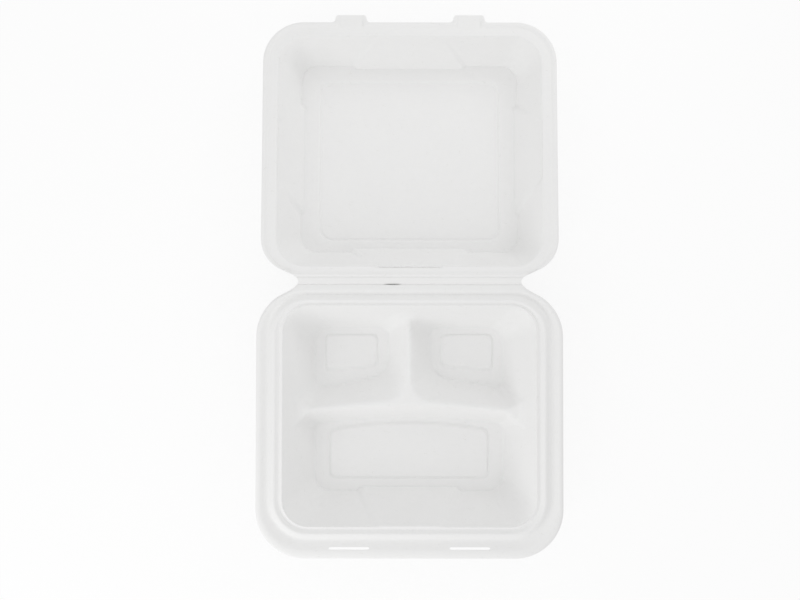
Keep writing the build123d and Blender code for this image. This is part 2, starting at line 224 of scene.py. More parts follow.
def outline_points(size, corner, shoulder, neck, start, shares, tab=None):
    """The edge of one half, from the middle of its crease round to the middle of its front."""
    half, length = size
    curve = shoulder_curve(neck, half, shoulder)
    begin = np.array([np.interp(start, curve[:, 1], curve[:, 0]), start])
    curve = np.concatenate([[begin], curve[curve[:, 1] > start + LEAST_STEP]])
    run = np.concatenate([[0], np.cumsum(np.hypot(*np.diff(curve, axis=0).T))])
    steps = np.linspace(0, run[-1], CORNER + 1)[1:]
    turn = np.linspace(0, math.pi / 2, CORNER + 1)[1:]
    xs = [np.linspace(0, begin[0], STRAIGHT + 1), np.interp(steps, run, curve[:, 0])]
    ds = [np.full(STRAIGHT + 1, start), np.interp(steps, run, curve[:, 1])]
    xs.append(np.full(SIDE, half))
    ds.append(np.linspace(shoulder, length - corner, SIDE + 1)[1:])
    xs.append(half - corner + corner * np.cos(turn))
    ds.append(length - corner * (1 - np.sin(turn)))
    front_x = (half - corner) * shares[1:]
    xs.append(front_x)
    ds.append(length + (tab(front_x) if tab else 0 * front_x))
    return np.stack([np.concatenate(xs), np.concatenate(ds)], 1)


class Facet:
    """A flatter field in a wall, wider toward the foot, with its insets at shares of the wall's height."""

    def __init__(self, half_top, half_low, flank, levels, insets):
        self.half_top = half_top
        self.half_low = half_low
        self.flank = flank
        self.levels = levels
        self.insets = insets

    def inset(self, off, part):
        """How far it stands in, this far from its middle and at this share of the wall's height."""
        reach = mix(self.half_top, self.half_low, part)
        over = ramp(reach + self.flank / 2 - off, 0, self.flank)
        return over * np.interp(part, self.levels, self.insets)


# The wall is sought between these shares of its height, past its top and its foot, by halving that often
WALL_SEARCH = (-0.6, 2.4)
HALVINGS = 26
LEAST_RADIUS = 3.0
SIDE_FACET_PLACE = 0.504


def wall_level(x, d, size, rings, levels, facets):
    """Level of the drafted wall over a place. Its outline shrinks from top to foot ring, facets included."""
    half_width, length = size
    top, foot = (ring.values[:, None] for ring in rings)
    at_side, at_front, at_fold = facets
    low, high = (np.full(x.shape, share) for share in WALL_SEARCH)
    far = d > length / 2
    for _ in range(HALVINGS):
        part = (low + high) / 2
        side, front, fold, front_corner, fold_corner = mix(top, foot, part)
        radius = np.maximum(np.where(far, front_corner, fold_corner), LEAST_RADIUS)
        across = half_width - side - np.abs(x)
        along = np.where(far, length - front - d, d - fold)
        if at_side:
            across = across - at_side.inset(np.abs(d - SIDE_FACET_PLACE * length), part)
        if at_front:
            along = along - np.where(far, at_front.inset(np.abs(x), part), 0.0)
        if at_fold:
            along = along - np.where(far, 0.0, at_fold.inset(np.abs(x), part))
        corner = (across < radius) & (along < radius)
        rounded = radius - np.hypot(radius - across, radius - along)
        inside = np.where(corner, rounded, np.minimum(across, along))
        low = np.where(inside > 0, part, low)
        high = np.where(inside > 0, high, part)
    return mix(*levels, (low + high) / 2)


def inner_grid(ring):
    """A grid that fills the last ring from its points, and the numbers of the points on its border."""
    a = STRAIGHT + CORNER // 2
    across, along = 2 * a, SIDE + CORNER
    u = np.arange(across + 1)
    v = np.arange(along + 1)
    near = (AROUND - a + u) % AROUND
    right = a + v
    far = AROUND - (a + along) - u
    left = (AROUND - a - v) % AROUND
    pu = (u / across)[:, None, None]
    pv = (v / along)[None, :, None]
    grid = (1 - pv) * ring[near][:, None] + pv * ring[far][:, None]
    grid = grid + (1 - pu) * ring[left][None] + pu * ring[right][None]
    grid = grid - (1 - pu) * (1 - pv) * ring[near[0]] - pu * (1 - pv) * ring[near[-1]]
    grid = grid - (1 - pu) * pv * ring[far[0]] - pu * pv * ring[far[-1]]
    index = np.full((across + 1, along + 1), -1)
    index[:, 0], index[:, -1], index[0, :], index[-1, :] = near, far, left, right
    return grid, index


def point_normals(points, faces):
    """Normals at the points of a mesh of quads."""
    corners = points[faces]
    normal = np.cross(corners[:, 2] - corners[:, 0], corners[:, 3] - corners[:, 1])
    total = np.zeros_like(points)
    for k in range(4):
        np.add.at(total, faces[:, k], normal)
    return total / np.maximum(np.linalg.norm(total, axis=1, keepdims=True), 1e-12)


def skin_faces(rings, index, base, step):
    """Quads of a skin of rings and an inner grid, where every step-th sample counts."""
    around_count = AROUND // step
    i = np.arange(around_count)
    nxt = (i + 1) % around_count
    faces = []
    for k in range(rings - 1):
        a, b = base + k * around_count, base + (k + 1) * around_count
        faces.append(np.stack([a + i, a + nxt, b + nxt, b + i], 1))
    grid = np.stack([index[:-1, :-1], index[1:, :-1], index[1:, 1:], index[:-1, 1:]], -1).reshape(-1, 4)
    faces.append(grid)
    return np.concatenate(faces)


# Rings next to the strip whose normals turn upright, so that the sheet meets it face to face
SEAM_RINGS = 3


def upper_skin(half):
    """Points, faces and normals of the upper skin, and the numbers of the points in its inner grid."""
    count = len(half.rings)
    free = half.index < 0
    numbers = half.index + (count - 1) * AROUND
    numbers[free] = count * AROUND + np.arange(free.sum())
    points = [np.column_stack(pair) for pair in zip(half.rings, half.levels)]
    points.append(np.column_stack([half.grid[free], half.grid_levels[free]]))
    points = np.concatenate(points)
    faces = skin_faces(count, numbers, 0, 1)
    normals = point_normals(points, faces)
    for k in range(SEAM_RINGS):
        rows = slice(k * AROUND, (k + 1) * AROUND)
        part = (half.seam * (1 - k / SEAM_RINGS))[:, None]
        normals[rows] = normals[rows] * (1 - part) + np.array([0.0, 0.0, 1.0]) * part
    normals /= np.linalg.norm(normals, axis=1, keepdims=True)
    return points, faces, normals, numbers


def under_skin(half, points, normals, numbers, sheet, lowest):
    """Points and faces of the under skin: every second point of the upper one, one sheet lower."""
    count = len(half.rings)
    kept = [*range(0, count - 1, 2), count - 1]
    coarse = half.index[::2, ::2]
    border = coarse >= 0
    last_ring = len(points) + (len(kept) - 1) * HALF
    index = last_ring + coarse // 2
    index[~border] = last_ring + HALF + np.arange((~border).sum())
    pick = [k * AROUND + np.arange(0, AROUND, 2) for k in kept]
    pick = np.concatenate([*pick, numbers[::2, ::2][~border]])
    under = points[pick] - normals[pick] * sheet
    under[:, 2] = np.maximum(under[:, 2], lowest)
    return under, skin_faces(len(kept), index, len(points), 2)[:, ::-1]


def closed_shell(half, sheet, lowest):
    """Points and faces of a moulded sheet, both skins and the edge, and a mark of 1 on the food side."""
    top, top_faces, normals, numbers = upper_skin(half)
    under, under_faces = under_skin(half, top, normals, numbers, sheet, lowest)
    j = np.arange(HALF)
    t0, t1, t2 = 2 * j, 2 * j + 1, (2 * j + 2) % AROUND
    b0, b1 = len(top) + j, len(top) + (j + 1) % HALF
    edge_quads = np.stack([t0, b0, b1, t1], 1)
    edge_tris = np.stack([t1, b1, t2], 1)
    inner = np.repeat([1.0, 0.0], [len(top), len(under)])
    faces = [f.tolist() for f in (top_faces, under_faces, edge_quads, edge_tris)]
    return np.concatenate([top, under]), sum(faces, []), inner


def tray_place(points):
    """From the tray's plan and level to the shared frame, in metres."""
    return np.stack([points[:, 0], FOLD_Y - points[:, 1], AXIS_Z - FOLD_GAP / 2 + points[:, 2]], 1) / 1000


def lid_place(points):
    """From the lid's plan and level to the shared frame, in metres, on its tilted plane."""
    up = points[:, 2] - FOLD_GAP / 2
    y = FOLD_Y + points[:, 1] * math.cos(TILT) + up * math.sin(TILT)
    z = AXIS_Z - points[:, 1] * math.sin(TILT) + up * math.cos(TILT)
    return np.stack([points[:, 0], y, z], 1) / 1000


def add_object(name, data):
    """A new object in the scene."""
    thing = bpy.data.objects.new(name, data)
    bpy.context.scene.collection.objects.link(thing)
    return thing


def evaluated_mesh(thing):
    """The object's mesh with its modifiers, as a plain mesh."""
    bpy.context.view_layer.update()
    return bpy.data.meshes.new_from_object(thing.evaluated_get(bpy.context.evaluated_depsgraph_get()))


def make_piece(name, points, faces, inner, material, flip):
    """A smooth mesh object at the origin, with what faces the food marked in an attribute."""
    old = bpy.data.objects.get(name)
    if old is not None:
        bpy.data.objects.remove(old)
    mesh = bpy.data.meshes.new(name)
    mesh.from_pydata(points.tolist(), [], [f[::-1] for f in faces] if flip else faces)
    mesh.validate()
    mark = mesh.attributes.new("food_side", "FLOAT", "POINT")
    mark.data.foreach_set("value", inner.astype(np.float32))
    mesh.polygons.foreach_set("use_smooth", [True] * len(mesh.polygons))
    mesh.set_sharp_from_angle(angle=SHARP_ANGLE)
    mesh.materials.append(material)
    return add_object(name, mesh)


class Half:
    """One half: rings from its edge inward with their points' levels, and the grid that fills the last."""

    def __init__(self, size, shares):
        self.size = size
        self.shares = shares
        self.rings = []
        self.levels = []
        along = np.minimum(np.arange(AROUND), AROUND - np.arange(AROUND))
        self.seam = 1 - ramp(along, STRAIGHT + 0.5, STRAIGHT + 4.5)

    def outline(self, corner, shoulder, neck, start, tab=None):
        return around(outline_points(self.size, corner, shoulder, neck, start, self.shares, tab))

    def points(self, ring):
        return around(ring_points(ring, *self.size, self.shares))

    def add(self, plan, level):
        self.rings.append(plan)
        self.levels.append(level)

    def hollow(self, rings, level_at, p):
        """Adds the rings of the hollow and the grid inside them, with their levels."""
        for ring in rings:
            plan = self.points(ring)
            self.add(plan, level_at(plan[:, 0], plan[:, 1], p))
        self.grid, self.index = inner_grid(self.rings[-1])
        flat = self.grid.reshape(-1, 2)
        self.grid_levels = level_at(flat[:, 0], flat[:, 1], p).reshape(self.grid.shape[:2])


# The edges and the strip

# The tear, from the crease toward the lid: where the gap's bottom and its flank end, where its lip stands
TEAR_FLANK = (0.1, 0.55)
TEAR_LIP_PLACE = 0.95
TEAR_LIP_WIDTH = 0.5


def crease(d, place, depth, half_width):
    """A pressed fold line across the strip."""
    return -depth * (1 - ramp(np.abs(d - place), 0, half_width))


def tear(x, off, p):
    """The torn stretch of the tray's crease: a deep narrow gap with a lifted lip. Off is toward the lid."""
    along = np.clip(1 - ((x - p.tear_place) / (p.tear_length / 2)) ** 2, 0, 1) ** 0.5
    gap = p.tear_depth * (1 - ramp(np.abs(off), *TEAR_FLANK))
    lip = p.tear_lip * (1 - ramp(np.abs(off - TEAR_LIP_PLACE), 0, TEAR_LIP_WIDTH))
    return along * (lip - gap)


def rolled(part, drop):
    """The turned edge: a quarter round from its lowest point up to the rim."""
    part = min(part, 1.0)
    return -drop * (1 - np.sqrt(np.clip(1 - (1 - part) ** 2, 0, 1)))


# The tray

# Rings, here and at the lid: insets at side, front and fold, then the radii of the front and fold corners
TRAY_CREST = Ring(3.1, 5.3, 7.5, 34.0, 34.0)
TRAY_CHANNEL = Ring(8.4, 13.5, 9.6, 30.0, 30.0)
TRAY_BEAD = Ring(14.1, 19.1, 14.6, 25.0, 25.0)
TRAY_GROOVE = Ring(17.6, 22.1, 17.0, 22.0, 22.0)
TRAY_MOUTH = Ring(20.0, 24.0, 18.4, 20.0, 20.0)
TRAY_FOOT = Ring(40.0, 41.7, 35.0, 13.0, 13.0)

# How far down the wall its rings lie, as shares of the way from mouth to foot
TRAY_WALL = (0.008, 0.02, 0.035, 0.055, 0.08, 0.11, 0.15, *np.linspace(0.19, 0.94, 17))
TRAY_WALL += (0.98, 1.02, 1.07, 1.13, 1.2)

# Steps from the edge to the crest, where the strip meets it and where it is free, and the turned part's width
SEAM_STEPS = (0, 0.12, 0.24, 0.36, 0.5, 0.66, 0.84, 1.1, 1.5, 2.0, 2.7, 3.4, 4.2, 5.1)
FREE_STEPS = (0, 0.08, 0.2, 0.38, 0.6, 0.9, 1.2, 1.5, 1.8, 2.1, 2.4, 2.65, 2.9, 3.1)
TURN_WIDTH = 2.7

# The tray's side of the crease: width and share of the depth of its steep part, and the gentle part's end
STEEP_WIDTH = 1.0
STEEP_SHARE = 0.4
GENTLE_END = 7.2

# Ribs: half the centre rib's top, its flank's reach, where the cross rib flares and its back's share of that
RIB_HALF = 1.8
RIB_FLANK = 14.5
FLARE_PLACE = (74, 88)
BACK_FLARE = 0.7

# Raised floors: edges from the middle and from the fold, slant or bow of one edge, corners, half a groove
BACK_INNER = 25.5
BACK_OUTER = 66
BACK_START = 41.2
BACK_END = 63.6
BACK_SLANT = 0.087
FRONT_HALF = 62.4
FRONT_START = 110.7
FRONT_BOW = 6.0
FRONT_END = 153.8
FLOOR_CORNER = 5
RAISED_GROOVE = 1.0

# Half the width of the step at the raised floors and at the lid's panel
FLOOR_STEP = 0.6

# Widths over which surfaces run into each other: back and front slopes, feet, the ribs' crests and the mouth.
# Where rib and wall meet, the crest turns from sharp to soft over a run that starts a little above the rib.
BACK_FILLET = 19.0
FRONT_FILLET = 15.0
FOOT_FILLET = 3.6
CREST_FILLET = 9.0
CREST_SOFT = 3.2
CREST_SHARP = 0.05
CREST_OVER = 1
CREST_RUN = 6
MOUTH_SOFT = 1.6
MOUTH_LEVEL = 0.1

# Weights of the pressed line at the feet: mostly, under the cross rib and at the front, and where those begin
FAINT_FOOT = 0.7
RIB_FOOT = 1.35
FRONT_FOOT = 1.25
RIB_FOOT_OVER = (-3.0, 5.0)
FRONT_FOOT_PLACE = (0.70, 0.77)


def tray_half(p):
    """Rings and inner grid of the tray."""
    half = Half((p.width / 2, p.length), np.linspace(1, 0, STRAIGHT + 1))
    start = p.tray_crease
    edge = half.outline(p.tray_corner, p.tray_shoulder, p.neck, start)
    crest = half.points(TRAY_CREST)
    for at_seam, free in zip(SEAM_STEPS, FREE_STEPS):
        part = mix(free / FREE_STEPS[-1], at_seam / SEAM_STEPS[-1], half.seam)[:, None]
        plan = edge * (1 - part) + crest * part
        x, d = plan.T
        level = rolled(free / TURN_WIDTH, p.edge_drop) * (1 - half.seam)
        steep = STEEP_SHARE * (1 - ramp(d, start, start + STEEP_WIDTH))
        slope = steep + (1 - STEEP_SHARE) * (1 - ramp(d, start, GENTLE_END))
        half.add(plan, level - p.crease_depth * slope + tear(x, start - d, p) * half.seam)
    spans = (
        (TRAY_CREST, TRAY_CHANNEL, 0.0, -p.channel_depth, 9),
        (TRAY_CHANNEL, TRAY_BEAD, -p.channel_depth, p.bead_height, 9),
        (TRAY_BEAD, TRAY_GROOVE, p.bead_height, -p.groove_depth, 8),
        (TRAY_GROOVE, TRAY_MOUTH, -p.groove_depth, MOUTH_LEVEL, 5),
    )
    for first, last, low, high, steps in spans:
        for k in range(1, steps + 1):
            plan = half.points(first.toward(last, k / steps))
            half.add(plan, np.full(AROUND, mix(low, high, ramp(k / steps, 0, 1))))
    half.hollow([TRAY_MOUTH.toward(TRAY_FOOT, part) for part in TRAY_WALL], tray_level, p)
    return half


def line_across(x, p, share, slant=0.0, bow=0.0, reach=1.0):
    """Where a line across the tray runs: a share of the length at the middle, slanting or bowed outward."""
    return share * p.length + slant * np.abs(x) + bow * (x / reach) ** 2


def rib_flanks(x, d, p, floor):
    """Levels of the flanks of the ribs: the cross rib's back and front, and the centre rib's."""
    wide = np.abs(x)
    run = floor + p.rib_drop
    flare = ramp(wide, *FLARE_PLACE)
    back_crest = line_across(x, p, share=0.431, slant=0.098) - BACK_FLARE * p.rib_flare * flare
    back_foot = line_across(x, p, share=0.342, slant=0.172)
    front_crest = line_across(x, p, share=0.456, bow=7.9, reach=86) + p.rib_flare * flare
    front_foot = line_across(x, p, share=0.518, bow=4.4, reach=75)
    back = -p.rib_drop + run * (back_crest - d) / (back_crest - back_foot)
    front = -p.rib_drop + run * (d - front_crest) / (front_foot - front_crest)
    return back, front, -p.rib_drop + run * (wide - RIB_HALF) / RIB_FLANK


def raised(inside, p):
    """Step up to a raised floor, with a fine groove along its outside."""
    step = p.plateau_rise * ramp(inside, -FLOOR_STEP, FLOOR_STEP)
    return step - p.plateau_groove * np.clip(1 - np.abs(inside + RAISED_GROOVE) / RAISED_GROOVE, 0, 1)


def tray_floors(x, d, p, floor):
    """Levels of the back and front floors with their raised parts."""
    wide = np.abs(x)
    back_end = BACK_END + BACK_SLANT * wide
    back = field(FLOOR_CORNER, wide - BACK_INNER, BACK_OUTER - wide, d - BACK_START, back_end - d)
    bow = FRONT_BOW * (x / FRONT_HALF) ** 2
    front = field(FLOOR_CORNER, FRONT_HALF - wide, d - FRONT_START - bow, FRONT_END - d)
    return floor + raised(back, p), floor + raised(front, p)


def tray_level(x, d, p):
    """Level of the three compartments, their ribs, raised floors and the notch in the front wall."""
    floor = p.sheet - p.depth
    notch = Facet(half_top=24.0, half_low=40.0, flank=6.0, levels=(0.0, 1.0), insets=(1.0, p.notch_depth))
    rings = (TRAY_MOUTH, TRAY_FOOT)
    wall = wall_level(x, d, (p.width / 2, p.length), rings, (MOUTH_LEVEL, floor), (None, notch, None))
    cross_back, cross_front, centre = rib_flanks(x, d, p, floor)
    back_floor, front_floor = tray_floors(x, d, p, floor)
    back_slope = blend_max(blend_max(cross_back, centre, p.rib_fillet), wall, BACK_FILLET)
    front_slope = blend_max(cross_front, wall, FRONT_FILLET)
    at_rib = ramp(cross_back - np.maximum(centre, wall), *RIB_FOOT_OVER)
    at_front = ramp(d, *(share * p.length for share in FRONT_FOOT_PLACE))
    back_foot = p.foot_groove * mix(FAINT_FOOT, RIB_FOOT, at_rib)
    front_foot = p.foot_groove * mix(FAINT_FOOT, FRONT_FOOT, at_front)
    back = blend_max(back_slope, back_floor, FOOT_FILLET, back_foot)
    front = blend_max(front_slope, front_floor, FOOT_FILLET, front_foot)
    crest = blend_max(wall, -p.rib_drop, CREST_FILLET)
    soft = CREST_SHARP + CREST_SOFT * np.clip((-p.rib_drop + CREST_OVER - wall) / CREST_RUN, 0, 1)
    level = blend_min(np.minimum(back, front), crest, soft)
    return blend_min(level, MOUTH_LEVEL, MOUTH_SOFT)


# The lid

LID_MOUTH = Ring(11.4, 10.6, 11.3, 22.0, 22.0)
LID_FOOT = Ring(25.5, 22.4, 25.5, 13.0, 13.0)
LID_PANEL = Ring(41.0, 35.9, 35.4, 9.6, 9.6)
LID_WALL = (-0.03, 0.0, 0.03, 0.06, 0.1, 0.15, 0.2, *np.linspace(0.26, 0.92, 18))
LID_WALL += (0.97, 1.02, 1.08, 1.15, 1.22)

# The lip: how far in its crest lies, the rounded share of the way there and its drop, and where it ends
LIP_INSET = 1.9
LIP_ROUND = 0.8
LIP_DROP = 1.1
FLANGE_INSET = 4.8
FLANGE_STEPS = 7

# The tabs' level and the stretch down to it, and the press behind them: half width, flank, start, full depth
TAB_PLATE = -0.3
TAB_SLOPE = 1.5
PRESS_HALF = 9.5
PRESS_FLANK = 0.5
PRESS_START = 10
PRESS_FULL = 8

# The creases' depth at the lid against the tray's, and the half widths of a crease beside and on the strip
LID_CREASE = 0.65
CREASE_HALF = 1.5
STRIP_CREASE_HALF = 1.1

# The facets: half width of the hinge one at its top, flanks, reach of the steep top, two shares of the depth
FOLD_FACET_HALF = 24.5
FACET_FLANK = 4.0
FACET_PROUD = 0.6
FRONT_FACET = 0.7
FOLD_FACET = 0.8

# The line over the hinge facet: how far outside the mouth, its half width and the flank of its ends
LINE_OUT = 0.7
LINE_HALF = 0.75
LINE_FLANK = 1.5

# The panel: corners, half width of its line, the line's weight away from the hinge, and where it fades
PANEL_CORNER = 10
PANEL_LINE_HALF = 1.6
FAINT_PANEL = 0.3
PANEL_FADE = (0.18, 0.30)
LID_FOOT_FILLET = 3.0
LID_MOUTH_SOFT = 1.2


def lid_size(p):
    """Half width and length of the lid."""
    return p.width / 2 - p.side_lap, p.length - p.front_lap


def tab_reach(p):
    """How far the lid's front edge stands out at a place across it."""

    def reach(x):
        t = np.abs(np.abs(x) - p.tab_spacing / 2)
        root = TAB_FILLET - np.sqrt(np.clip(TAB_FILLET**2 - (TAB_ROOT - t) ** 2, 0, None))
        side = np.sqrt(np.clip(1 - ((t - TAB_TIP) / TAB_ROUND) ** 2, 0, None))
        tip = TAB_FILLET + (p.tab_length - TAB_FILLET) * side
        out = np.where(t < TAB_TIP, p.tab_length, np.where(t < TAB_TURN, tip, root))
        return np.where(t > TAB_ROOT, 0.0, out)

    return reach


def tab_press(plan, level, p):
    """Level with the shallow press across the lip behind each tab, which the slot's edge takes."""
    length = lid_size(p)[1]
    across = ramp(PRESS_HALF - np.abs(np.abs(plan[:, 0]) - p.tab_spacing / 2), -PRESS_FLANK, PRESS_FLANK)
    across = across * ramp(plan[:, 1], length - PRESS_START, length - PRESS_FULL)
    return mix(level, np.minimum(level, -p.tab_level), across)


def lid_half(p):
    """Rings and inner grid of the lid."""
    half_width, length = lid_size(p)
    half = Half((half_width, length), tab_places(half_width - p.lid_corner, p.tab_spacing / 2))
    edge = half.outline(p.lid_corner, p.lid_shoulder, p.neck, p.lid_crease, tab_reach(p))
    crest = Ring(LIP_INSET, LIP_INSET, 4.6, p.lid_corner - LIP_INSET, 28.0)
    flange = Ring(FLANGE_INSET, FLANGE_INSET, 6.9, p.lid_corner - FLANGE_INSET, 25.0)
    crest_plan = half.points(crest)
    for part in (0, 0.04, 0.1, 0.18, 0.28, 0.4, 0.55, 0.7, 0.85, 1.0):
        plan = edge * (1 - part) + crest_plan * part
        out = np.clip((plan[:, 1] - length) / TAB_SLOPE, 0, 1)
        level = mix(rolled(part / LIP_ROUND, LIP_DROP) + p.lip_height, TAB_PLATE, out) * (1 - half.seam)
        level = level + crease(plan[:, 1], p.lid_crease, LID_CREASE * p.crease_depth, CREASE_HALF)
        half.add(plan, tab_press(plan, level, p))
    for k in range(1, FLANGE_STEPS + 1):
        plan = half.points(crest.toward(flange, k / FLANGE_STEPS))
        level = mix(mix(p.lip_height, 0.0, half.seam), -p.flange_drop, ramp(k / FLANGE_STEPS, 0, 1))
        half.add(plan, tab_press(plan, level, p))
    for part in (0.2, 0.4, 0.6, 0.68, 0.76, 0.84):
        plan = half.points(flange.toward(LID_MOUTH, part))
        level = -p.flange_drop - step_line(plan[:, 0], plan[:, 1], p)
        half.add(plan, tab_press(plan, level, p))
    rings = [LID_MOUTH.toward(LID_FOOT, part) for part in LID_WALL]
    last = rings[-1]
    rings += [last.toward(LID_PANEL, part) for part in (0.15, 0.35, 0.55, 0.75, 0.9)]
    rings += [LID_PANEL.moved_in(distance) for distance in (-0.9, -0.5, -0.1, 0.3, 0.7, 1.1, 1.7)]
    half.hollow(rings, lid_level, p)
    return half


def step_line(x, d, p):
    """The pressed line along the edge of the hollow over its facet at the hinge."""
    across = ramp(FOLD_FACET_HALF - np.abs(x), -LINE_FLANK, LINE_FLANK)
    return p.step_line * across * (1 - ramp(np.abs(d - LID_MOUTH.values[2] + LINE_OUT), 0, LINE_HALF))


def lid_level(x, d, p):
    """Level of the lid's hollow: its wall with a facet on each side, the band at its foot and the panel."""
    half_width, length = lid_size(p)
    top = -p.flange_drop
    band = p.sheet - p.lid_depth + p.panel_drop
    step = p.facet_step / (top - band)
    proud = FACET_PROUD - step * (LID_FOOT.values[0] - LID_MOUTH.values[0])
    steep, even = (0.0, step, 1.0), (0.0, 1.0)
    side_insets = (0.0, proud, p.facet_depth)
    front_insets = (0.0, FRONT_FACET * p.facet_depth)
    fold_insets = (0.0, proud, FOLD_FACET * p.facet_depth)
    facets = (
        Facet(half_top=21.5, half_low=43.0, flank=FACET_FLANK, levels=steep, insets=side_insets),
        Facet(half_top=25.0, half_low=44.5, flank=FACET_FLANK, levels=even, insets=front_insets),
        Facet(half_top=FOLD_FACET_HALF, half_low=45.5, flank=FACET_FLANK, levels=steep, insets=fold_insets),
    )
    wall = wall_level(x, d, (half_width, length), (LID_MOUTH, LID_FOOT), (top, band), facets)
    side, front, fold = LID_PANEL.values[:3]
    inside = field(PANEL_CORNER, half_width - side - np.abs(x), d - fold, length - front - d)
    near_hinge = 1 - ramp(d, *(share * length for share in PANEL_FADE))
    floor = band - p.panel_drop * ramp(inside, -FLOOR_STEP, FLOOR_STEP)
    line = np.clip(1 - np.abs(inside) / PANEL_LINE_HALF, 0, 1)
    floor = floor - p.panel_groove * mix(FAINT_PANEL, 1.0, near_hinge) * line
    level = blend_min(blend_max(wall, floor, LID_FOOT_FILLET, p.foot_groove), top, LID_MOUTH_SOFT)
    return level - step_line(x, d, p)


# Materials


class Nodes:
    """Adds nodes to one tree: any node with its settings first, then its sockets by name or as _number."""

    def __init__(self, tree):
        self.tree = tree
        self.tree.nodes.clear()

    def add(self, kind, settings=None, **sockets):
        node = self.tree.nodes.new(kind)
        for key, value in (settings or {}).items():
            setattr(node, key, value)
        for key, value in sockets.items():
            place = int(key[1:]) if key[1:].isdigit() else key.replace("_", " ")
            self.feed(node.inputs[place], value)
        return node

    def feed(self, socket, value):
        if isinstance(value, Value):
            self.tree.links.new(value.socket, socket)
        elif isinstance(value, bpy.types.NodeSocket):
            self.tree.links.new(value, socket)
        else:
            socket.default_value = value


class Value:
    """A number that varies over the surface. Python's operators add the Math nodes."""

    def __init__(self, nodes, socket):
        self.nodes = nodes
        self.socket = socket

    def _maths(self, operation, *values, clamp=False):
        node = self.nodes.add("ShaderNodeMath", {"operation": operation, "use_clamp": clamp})
        for socket, value in zip(node.inputs, values):
            self.nodes.feed(socket, value)
        return Value(self.nodes, node.outputs[0])

    def __add__(self, other):
        return self._maths("ADD", self, other)

    def __radd__(self, other):
        return self._maths("ADD", other, self)

    def __sub__(self, other):
        return self._maths("SUBTRACT", self, other)

    def __rsub__(self, other):
        return self._maths("SUBTRACT", other, self)

    def __mul__(self, other):
        return self._maths("MULTIPLY", self, other)

    def __rmul__(self, other):
        return self._maths("MULTIPLY", other, self)

    def below(self, other):
        return self._maths("LESS_THAN", self, other)

    def clamped(self):
        return self._maths("ADD", self, 0.0, clamp=True)

    def absolute(self):
        return self._maths("ABSOLUTE", self)


def new_material(name):
    """A material, and the means to fill its empty node tree."""
    material = bpy.data.materials.new(name)
    material.use_nodes = True
    return material, Nodes(material.node_tree)


def two_colours(nodes, part, near, far):
    """From one colour to another, by a part that varies."""
    sockets = {"_0": part.clamped(), "_6": (*near, 1.0), "_7": (*far, 1.0)}
    return nodes.add("ShaderNodeMix", {"data_type": "RGBA"}, **sockets).outputs[2]


# A wave texture repeats every 0.314 m divided by its scale: the faint screen marks are 6.9 mm apart
SCREEN_SCALE = 1000 / 22

# The scale of the fibre streaks along themselves, against the scale across them
DRAWN_OUT = 0.09


def screen_marks(nodes, place):
    """Two crossed sets of soft bands, as a forming screen leaves them."""
    place = nodes.add("ShaderNodeMapping", Vector=place, Scale=(1.0, 1.0, 0.35)).outputs[0]
    look = {"Vector": place, "Scale": SCREEN_SCALE, "Distortion": 0.6, "Detail": 1.0}
    bands = []
    for axis in ("X", "Y"):
        settings = {"wave_type": "BANDS", "bands_direction": axis, "wave_profile": "SIN"}
        wave = nodes.add("ShaderNodeTexWave", settings, **look)
        bands.append(Value(nodes, wave.outputs["Fac"]))
    return bands[0] * bands[1]


def pulp_material(p):
    """Pressed bagasse pulp: off-white, matt, with faint clouding, short fibres and a fine tooth."""
    material, nodes = new_material("pressed_pulp")
    place = nodes.add("ShaderNodeTexCoord").outputs["Object"]

    def noise(scale, detail, rough=0.5):
        node = nodes.add("ShaderNodeTexNoise", Vector=place, Scale=scale, Detail=detail, Roughness=rough)
        return Value(nodes, node.outputs[0])

    def fibres(turn, scale, low, high):
        """Thin streaks one way: noise drawn out along its own direction."""
        scales = (scale * DRAWN_OUT, scale, scale)
        drawn = nodes.add("ShaderNodeMapping", Vector=place, Rotation=turn, Scale=scales)
        node = nodes.add("ShaderNodeTexNoise", Vector=drawn.outputs[0], Scale=1.0, Detail=1.0, Distortion=0.6)
        streak = nodes.add("ShaderNodeMapRange", Value=node.outputs[0], From_Min=low, From_Max=high)
        return Value(nodes, streak.outputs[0])

    cloud = noise(scale=38.0, detail=3.0)
    mottle = noise(scale=260.0, detail=3.0)
    tooth = noise(scale=1500.0, detail=2.0, rough=0.6)
    streaks = fibres(turn=(0.2, 0.1, 0.5), scale=2600.0, low=0.60, high=0.74)
    streaks = streaks + fibres(turn=(0.1, -0.2, 1.7), scale=2300.0, low=0.61, high=0.74)
    streaks = streaks + fibres(turn=(-0.15, 0.1, 2.7), scale=2900.0, low=0.60, high=0.74)
    side = nodes.add("ShaderNodeAttribute", {"attribute_name": "food_side"})
    food_side = Value(nodes, side.outputs["Fac"])
    tone = (cloud - 0.5) * 0.45 + (mottle - 0.5) * 0.35 + streaks * 0.22 + 0.5
    screen = screen_marks(nodes, place) * (1 - food_side)
    height = (mottle - 0.5) * 0.10 + (tooth - 0.5) * 0.09 + streaks * 0.05 + screen * 0.05
    bump = nodes.add("ShaderNodeBump", Strength=p.tooth, Distance=0.001, Height=height)
    shader = nodes.add(
        "ShaderNodeBsdfPrincipled",
        Base_Color=two_colours(nodes, tone, p.colour_light, p.colour_dark),
        Roughness=0.88,
        Specular_IOR_Level=0.28,
        Normal=bump.outputs[0],
    )
    nodes.add("ShaderNodeOutputMaterial", Surface=shader.outputs[0])
    return material


def pulp(p):
    """The pulp of all pieces, made when it is first asked for."""
    return bpy.data.materials.get("pressed_pulp") or pulp_material(p)


